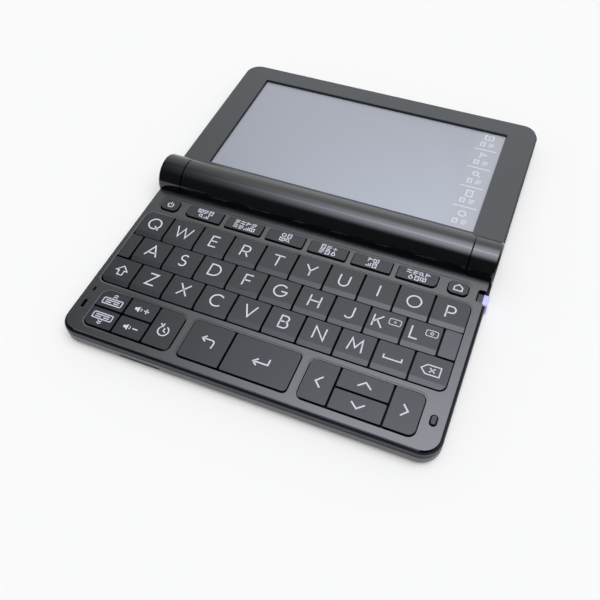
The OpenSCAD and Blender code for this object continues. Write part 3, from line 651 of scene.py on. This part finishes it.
STRIP_MARKS = ("ring", "page", "lens", "flag", "book")  # from the near end

# Marks of each function key, in two rows.
FUNCTION_MARKS = [
    (("book", "list", "page"), ("lens", "steps")),
    (("list", "waves", "flag", "list"), ("waves", "list", "steps", "book")),
    (("ring", "page"), ("book", "lens")),
    (("page", "list", "cross"), ("list", "page", "drop")),
    (("flag", "book"), ("steps", "page")),
    (("waves", "list", "lens", "flag"), ("drop", "page", "book")),
]

# Symbols of the other keys: the share of the symbol stroke that the lines are wide, and the strokes in mm
# about the middle of the cap.
SYMBOLS = {
    "power": (0.92, [[(0, -0.15, 1.2, 1.2, 128, 412)], [(0, 0.15), (0, 1.6)]]),
    "home": (1, [[(-1.6, -1.4), (-1.6, 0.3), (0, 1.6), (1.6, 0.3), (1.6, -1.4), (-1.6, -1.4)]]),
    "left": (1.2, [[(1.1, 2.3), (-1.1, 0), (1.1, -2.3)]]),
    "right": (1.2, [[(-1.1, 2.3), (1.1, 0), (-1.1, -2.3)]]),
    "up": (1.2, [[(-2.5, -1.1), (0, 1.1), (2.5, -1.1)]]),
    "down": (1.2, [[(-2.5, 1.1), (0, -1.1), (2.5, 1.1)]]),
    "history": (1, [[(0, -1, 2.1, 2.1, 120, 430)], [(-2.3, 1.9), (-1.0, 0.9), (-0.9, 2.3)],
                    [(0, 0.3), (0, -1), (1, -1.5)]]),
    "back": (1.1, [[(2.4, -1.6), (2.6, -0.6), (1.6, 0.7, 1.1, 1.1, -20, 90), (-2.2, 1.8)],
                   [(-0.9, 3.1), (-2.4, 1.8), (-0.9, 0.5)]]),
    "enter": (1.2, [[(3.0, 1.9), (3.0, -0.6), (-2.6, -0.6)], [(-1.1, 0.9), (-2.8, -0.6), (-1.1, -2.1)]]),
    "space": (1.1, [[(-3.4, 0.9), (-3.4, -0.6), (3.4, -0.6), (3.4, 0.9)]]),
    "delete": (0.9, [[(-3.6, 0.2), (-1.7, 2.2), (3.4, 2.2), (3.4, -1.8), (-1.7, -1.8), (-3.6, 0.2)],
                     [(-0.5, 1.1), (1.5, -0.7)], [(1.5, 1.1), (-0.5, -0.7)]]),
    "shift": (0.9, [[(0, 2.7), (-2.4, 0.3), (-1.1, 0.3), (-1.1, -1.9), (1.1, -1.9), (1.1, 0.3), (2.4, 0.3),
                     (0, 2.7)]]),
}

# Shapes on the page and volume keys, in the same way.
PAGE = [[(-3.8, -1.35), (-4.1, -1.05), (-4.1, 1.05), (-3.8, 1.35), (3.8, 1.35), (4.1, 1.05), (4.1, -1.05),
         (3.8, -1.35), (-3.8, -1.35)], [(-3, 0.45), (3, 0.45)], [(-3, -0.45), (-0.4, -0.45)],
        [(0.6, -0.45), (3, -0.45)]]
SPEAKER = [(-3, -0.55), (-2.2, -0.55), (-1.1, -1.35), (-1.1, 1.35), (-2.2, 0.55), (-3, 0.55)]
SOUND = [[(-1.0, 0, 0.85, 0.85, -50, 50)]]
MINUS = [[(0.9, 0), (3.1, 0)]]
PLUS = MINUS + [[(2.0, -1.1), (2.0, 1.1)]]


def moved(strokes, scale=1.0, x=0.0, y=0.0):
    """Polylines of strokes, scaled about the origin and then moved."""
    return [stroke_points(items) * scale + (x, y) for items in strokes]


def bars(lines, width, top, ink):
    """Printed bars along polylines, from just below a surface to the ink's height above it."""
    return [ribbon(line, width, top - SINK, top + ink) for line in lines]


def in_mm(box):
    """Low and high corner of a box, in mm."""
    return np.array(box) / MM


def key_plan(name):
    """Middle x and y and the top height of a key's cap, in mm."""
    low, high = in_mm(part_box(name))
    return (low[0] + high[0]) / 2, (low[1] + high[1]) / 2, high[2]


def framed(x, y, width, height, corner):
    """Outline of a rectangle with rounded corners about x, y."""
    a, b = width / 2 - corner, height / 2 - corner
    return stroke_points([(x + a, y + b, corner, corner, 0, 90), (x - a, y + b, corner, corner, 90, 180),
                          (x - a, y - b, corner, corner, 180, 270), (x + a, y - b, corner, corner, 270, 360),
                          (x + a + corner, y + b)])


# -------- operators


class DICTIONARY_OT_case(bpy.types.Operator):
    """Finishes the lower case, the deck, the barrel with its cover and the back of the lid"""
    bl_idname = "dictionary.case"
    bl_label = "Case, deck and barrel"

    def execute(self, context):
        finish = context.scene.dictionary_finish
        wall_skin = 0.05
        dress("lower_case", moulded_case(tuple(finish.case)))
        low, high = in_mm(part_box("upper_case"))
        dress("upper_case", painted_deck(tuple(finish.deck), high[0] - wall_skin, low[1] + wall_skin))
        black = piano_black(tuple(finish.barrel))
        for name in ("battery_barrel", "battery_cover", "lid_back"):
            dress(name, black)
        return {"FINISHED"}


class DICTIONARY_OT_keys(bpy.types.Operator):
    """Finishes every key cap"""
    bl_idname = "dictionary.keys"
    bl_label = "Key caps"

    def execute(self, context):
        material = moulded_keycap(tuple(context.scene.dictionary_finish.key))
        for name in NODES:
            if name.startswith("key_") and name != "key_mat":
                dress(name, material)
        return {"FINISHED"}


class DICTIONARY_OT_letters(bpy.types.Operator):
    """Prints the alphabet on the letter keys, with the two small frames beside K and L"""
    bl_idname = "dictionary.letters"
    bl_label = "Letters"

    def execute(self, context):
        finish, legend = context.scene.dictionary_finish, context.scene.dictionary_legend
        ink = printed_ink(tuple(finish.ink))
        height, stroke = legend.cap_height / MM, legend.letter_stroke / MM
        fine, lift, shift = legend.fine_stroke / MM, legend.ink_height / MM, legend.rear_shift / MM
        framed_marks = {"k": "cross", "l": "ring"}
        letter_left, frame_right, frame_up, mark_size = 2.9, 3.3, 1.6, 1.3
        frame_size = {"width": 4.5, "height": 2.7, "corner": 0.6}
        # The caps of F and J carry a homing bar, so every letter takes the height of the cap of G.
        top = key_plan("key_g")[2]
        for letter, (width, strokes) in LETTERS.items():
            x, y, _ = key_plan("key_" + letter)
            y += shift
            parts = []
            if letter in framed_marks:
                frame_x, frame_y = x + frame_right, y + frame_up
                mark = moved(MARKS[framed_marks[letter]], mark_size, frame_x, frame_y)
                parts += bars([framed(frame_x, frame_y, **frame_size)] + mark, fine, top, lift)
                x -= letter_left
            lines = moved(strokes, height, x - width * height / 2, y - height / 2)
            parts += bars(lines, stroke, top, lift)
            piece("print_letter_" + letter, parts, ink, "key_" + letter)
        return {"FINISHED"}


class DICTIONARY_OT_symbols(bpy.types.Operator):
    """Prints plain symbols on the function, front and editing keys, in the ink of the letters"""
    bl_idname = "dictionary.symbols"
    bl_label = "Symbols"

    def execute(self, context):
        legend = context.scene.dictionary_legend
        ink = bpy.data.materials["pad_printed_ink"]
        stroke, lift = legend.symbol_stroke / MM, legend.ink_height / MM

        def put(key, *groups, solids=()):
            """Prints groups of (polylines in mm about the cap's middle, weight) and solid shapes on a key."""
            x, y, top = key_plan(key)
            parts = []
            for lines, weight in groups:
                parts += bars([line + (x, y) for line in lines], weight * stroke, top, lift)
            for outline in solids:
                parts.append(tablet(np.array(outline, float) + (x, y), top - SINK, top + lift))
            piece("print_" + key, parts, ink, key)

        for name, (weight, strokes) in SYMBOLS.items():
            put("key_" + name, (moved(strokes), weight))

        size, gap, weight = 2.0, 2.5, 0.8
        for number, rows in enumerate(FUNCTION_MARKS, 1):
            lines = []
            for row, names in enumerate(rows):
                for column, name in enumerate(names):
                    x = (column - (len(names) - 1) / 2) * gap
                    lines += moved(MARKS[name], size, x, (0.5 - row) * gap)
            put(f"key_function_{number}", (lines, weight))

        page_weight, page_y, arrow_weight, half, rise = 0.84, -0.8, 0.7, 0.9, 0.6
        for key, turn in (("key_page_up", 1), ("key_page_down", -1)):
            arrows = [[(-half, foot * turn), (0, (foot + rise) * turn), (half, foot * turn)]
                      for foot in (1.2, 2.1)]
            put(key, (moved(PAGE, y=page_y * turn), page_weight), (moved(arrows), arrow_weight))

        sound_weight, sign_weight = 0.7, 1
        for key, sign in (("key_volume_up", PLUS), ("key_volume_down", MINUS)):
            put(key, (moved(SOUND), sound_weight), (moved(sign), sign_weight), solids=[SPEAKER])
        return {"FINISHED"}


class DICTIONARY_OT_lid(bpy.types.Operator):
    """Finishes the bezel and the screen, and prints the strip of soft keys"""
    bl_idname = "dictionary.lid"
    bl_label = "Bezel and screen"

    def execute(self, context):
        finish, screen = context.scene.dictionary_finish, context.scene.dictionary_screen
        lap, near_lap, border = 3.0, 1.9, 0.5
        line_y, small_y, large_y = 0.7, 4.6, 9.4
        line_w, small_w, large_w, ink = 0.55, 0.5, 0.6, 0.02
        small_size, large_size = 2.5, 3.7
        small_marks = ((-2.0, "page"), (1.9, "list"))

        dress("lid_bezel", satin_bezel(tuple(finish.bezel)))
        low, high = in_mm(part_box("display_module"))
        near, far, edge = low[1] + near_lap + border, high[1] - lap - border, high[0] - lap - border
        dress("display_module", crystal_panel(tuple(finish.screen), edge, near, far))
        middle, width, top = screen.strip_x / MM, screen.strip_w / MM, high[2]
        pitch = (far - near) / screen.cells
        parts = []
        for cell in range(screen.cells):
            base = near + cell * pitch
            if cell:
                line = [[(middle - width / 2, base + line_y), (middle + width / 2, base + line_y)]]
                parts += bars(moved(line), line_w, top, ink)
            large = moved(MARKS[STRIP_MARKS[cell]], large_size, middle, base + large_y)
            parts += bars(large, large_w, top, ink)
            for offset, mark in small_marks:
                small = moved(MARKS[mark], small_size, middle + offset, base + small_y)
                parts += bars(small, small_w, top, ink)
        piece("print_screen_strip", parts, screen_print(), "lid")
        return {"FINISHED"}


class DICTIONARY_OT_stylus(bpy.types.Operator):
    """Finishes the pen"""
    bl_idname = "dictionary.stylus"
    bl_label = "Stylus"

    def execute(self, context):
        dress("stylus", moulded_stylus(tuple(context.scene.dictionary_finish.stylus)))
        return {"FINISHED"}


class DICTIONARY_OT_inside(bpy.types.Operator):
    """Finishes the pieces inside: key mat, circuit board, cells and hinge pins"""
    bl_idname = "dictionary.inside"
    bl_label = "Inner pieces"

    def execute(self, context):
        dress("key_mat", silicone_mat())
        dress("circuit_board", laminate_board())
        dress("battery_cells", cell_can())
        dress("hinge_pins", ground_steel("ground_steel_pin"))
        return {"FINISHED"}


class DICTIONARY_OT_screws(bpy.types.Operator):
    """Adds the four cross-head screws under the lower case"""
    bl_idname = "dictionary.screws"
    bl_label = "Screws underneath"

    def execute(self, context):
        low, high = in_mm(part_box("lower_case"))
        steel = ground_steel("zinc_plated_screw")
        from_side, from_front, from_rear = 12, 24, 22
        underside, head_r, head_flat_r, arm_r, arm_w = 0.6, 1.5, 1.15, 0.85, 0.32
        head_z, head_edge_z, head_top_z = underside - 0.22, underside - 0.08, underside + 0.05
        arm_low, arm_high = underside - 0.235, underside - 0.2
        head = [(0, head_z), (head_flat_r, head_z), (head_r, head_edge_z), (head_r, head_top_z)]
        parts = []
        for x in (low[0] + from_side, high[0] - from_side):
            for y in (low[1] + from_front, high[1] - from_rear):
                parts.append(revolve(head, (x, y)))
                for angle in np.radians([20, 110]):
                    end = arm_r * np.array([np.cos(angle), np.sin(angle)])
                    parts.append(ribbon(np.array([-end, end]) + (x, y), arm_w, arm_low, arm_high))
        piece("case_screws", parts, steel, "base")
        return {"FINISHED"}


class DICTIONARY_OT_stage(bpy.types.Operator):
    """Sets the floor, the studio round the dictionary and the camera"""
    bl_idname = "dictionary.stage"
    bl_label = "Stage"

    def execute(self, context):
        stage = context.scene.dictionary_stage
        scene = context.scene
        scene.view_settings.view_transform = "Standard"

        # Floor: a flat square, points (x, y, 0).
        half = 2.0
        corners = [(-half, -half, 0), (half, -half, 0), (half, half, 0), (-half, half, 0)]
        mesh = bpy.data.meshes.new("floor")
        mesh.from_pydata(corners, [], [[0, 1, 2, 3]])
        floor = bpy.data.objects.new("floor", mesh)
        scene.collection.objects.link(floor)
        mesh.materials.append(white_paper(tuple(stage.floor)))

        world = bpy.data.worlds.new("studio_room")
        scene.world = world
        world.use_nodes = True
        tree = world.node_tree
        tree.nodes.clear()
        direction = add_node(tree, "ShaderNodeTexCoord").outputs["Generated"]
        way = add_node(tree, "ShaderNodeSeparateXYZ", links={"Vector": direction}).outputs

        def fade(axis, dark, light, low=0.0, high=1.0):
            """Strength that goes smoothly from low, where a direction's part along an axis is dark, to
            high, where it is light."""
            return add_node(tree, "ShaderNodeMapRange", {
                "From Min": dark, "From Max": light, "To Min": low, "To Max": high}, {"Value": way[axis]},
                interpolation_type="SMOOTHSTEP").outputs["Result"]

        def soft_box(left, right, front, rear, strength):
            """Strength of a soft light with four edges. Each edge is where the light ends and where it is
            full, as parts of a direction along X for left and right and along Y for front and rear."""
            return product(tree, fade("X", *left), fade("X", *right), fade("Y", *front),
                           fade("Y", *rear, 0.0, strength))

        # What mirrors see: a cool ceiling light that fades to all sides, with a brighter tube along its
        # middle, a pale wall behind the dictionary and a dim room in front of it.
        cool, neutral, pale = (0.96, 0.995, 1.12, 1), (0.97, 1.0, 0.99, 1), (0.965, 0.995, 1.09, 1)
        overhead = soft_box((-0.52, -0.02), (0.5, 0.12), (-0.68, -0.12), (0.75, 0.2), stage.overhead)
        tube = add_node(tree, "ShaderNodeMapRange", {"To Min": 0.8, "To Max": 1.22},
                        {"Value": product(tree, fade("Y", -0.1, 0.03), fade("Y", 0.2, 0.07))})
        ceiling = add_node(tree, "ShaderNodeBackground", {"Color": cool},
                           {"Strength": product(tree, overhead, tube.outputs["Result"])})
        far = fade("Y", 0.1, 0.8, stage.before, stage.behind)
        wall = add_node(tree, "ShaderNodeBackground", {"Color": neutral},
                        {"Strength": product(tree, far, fade("X", -0.75, -0.3, 0.3))})
        room = add_node(tree, "ShaderNodeAddShader", links={0: ceiling.outputs[0], 1: wall.outputs[0]})

        # What lights matt surfaces: a soft light above the front right, and a little from everywhere.
        above = soft_box((-0.35, 0.05), (0.8, 0.4), (-0.7, -0.25), (0.45, 0.05), stage.above)
        above = add_node(tree, "ShaderNodeMath", {1: stage.around}, {0: above}, operation="ADD")
        dome = add_node(tree, "ShaderNodeBackground", {"Color": pale}, {"Strength": above.outputs[0]})

        # The camera itself sees white.
        path = add_node(tree, "ShaderNodeLightPath").outputs
        lit = add_node(tree, "ShaderNodeMixShader", links={
            0: path["Is Glossy Ray"], 1: dome.outputs[0], 2: room.outputs[0]})
        white = add_node(tree, "ShaderNodeBackground", {"Color": (1, 1, 1, 1), "Strength": 1.0})
        seen = add_node(tree, "ShaderNodeMixShader", links={
            0: path["Is Camera Ray"], 1: lit.outputs[0], 2: white.outputs[0]})
        add_node(tree, "ShaderNodeOutputWorld", links={"Surface": seen.outputs[0]})

        camera_data = bpy.data.cameras.new("camera")
        camera_data.lens = stage.lens
        camera_data.sensor_width = 36
        camera_data.clip_start = 0.01
        camera = bpy.data.objects.new("camera", camera_data)
        camera.location = stage.camera_place
        camera.rotation_euler = stage.camera_turn
        scene.collection.objects.link(camera)
        scene.camera = camera
        return {"FINISHED"}


class DICTIONARY_PT_pieces(bpy.types.Panel):
    """Sidebar panel with the pieces and their settings"""
    bl_idname = "DICTIONARY_PT_pieces"
    bl_label = "Dictionary"
    bl_space_type = "VIEW_3D"
    bl_region_type = "UI"
    bl_category = "Dictionary"

    def draw(self, context):
        for operator in OPERATORS:
            self.layout.operator(operator.bl_idname)
        for attribute, group in SETTINGS:
            box = self.layout.box()
            for name in group.__annotations__:
                box.prop(getattr(context.scene, attribute), name)


SETTINGS = [
    ("dictionary_finish", FinishSettings),
    ("dictionary_legend", LegendSettings),
    ("dictionary_screen", ScreenSettings),
    ("dictionary_stage", StageSettings),
]
OPERATORS = [
    DICTIONARY_OT_case, DICTIONARY_OT_keys, DICTIONARY_OT_letters, DICTIONARY_OT_symbols, DICTIONARY_OT_lid,
    DICTIONARY_OT_stylus, DICTIONARY_OT_inside, DICTIONARY_OT_screws, DICTIONARY_OT_stage,
]


def register():
    for attribute, group in SETTINGS:
        bpy.utils.register_class(group)
        setattr(bpy.types.Scene, attribute, bpy.props.PointerProperty(type=group))
    for item in OPERATORS + [DICTIONARY_PT_pieces]:
        bpy.utils.register_class(item)


def unregister():
    for item in [DICTIONARY_PT_pieces] + OPERATORS[::-1]:
        bpy.utils.unregister_class(item)
    for attribute, group in SETTINGS[::-1]:
        delattr(bpy.types.Scene, attribute)
        bpy.utils.unregister_class(group)


def main():
    register()
    bpy.ops.dictionary.case()
    bpy.ops.dictionary.keys()
    bpy.ops.dictionary.letters()
    bpy.ops.dictionary.symbols()
    bpy.ops.dictionary.lid()
    bpy.ops.dictionary.stylus()
    bpy.ops.dictionary.inside()
    bpy.ops.dictionary.screws()
    bpy.ops.dictionary.stage()


if __name__ == "__main__":
    main()
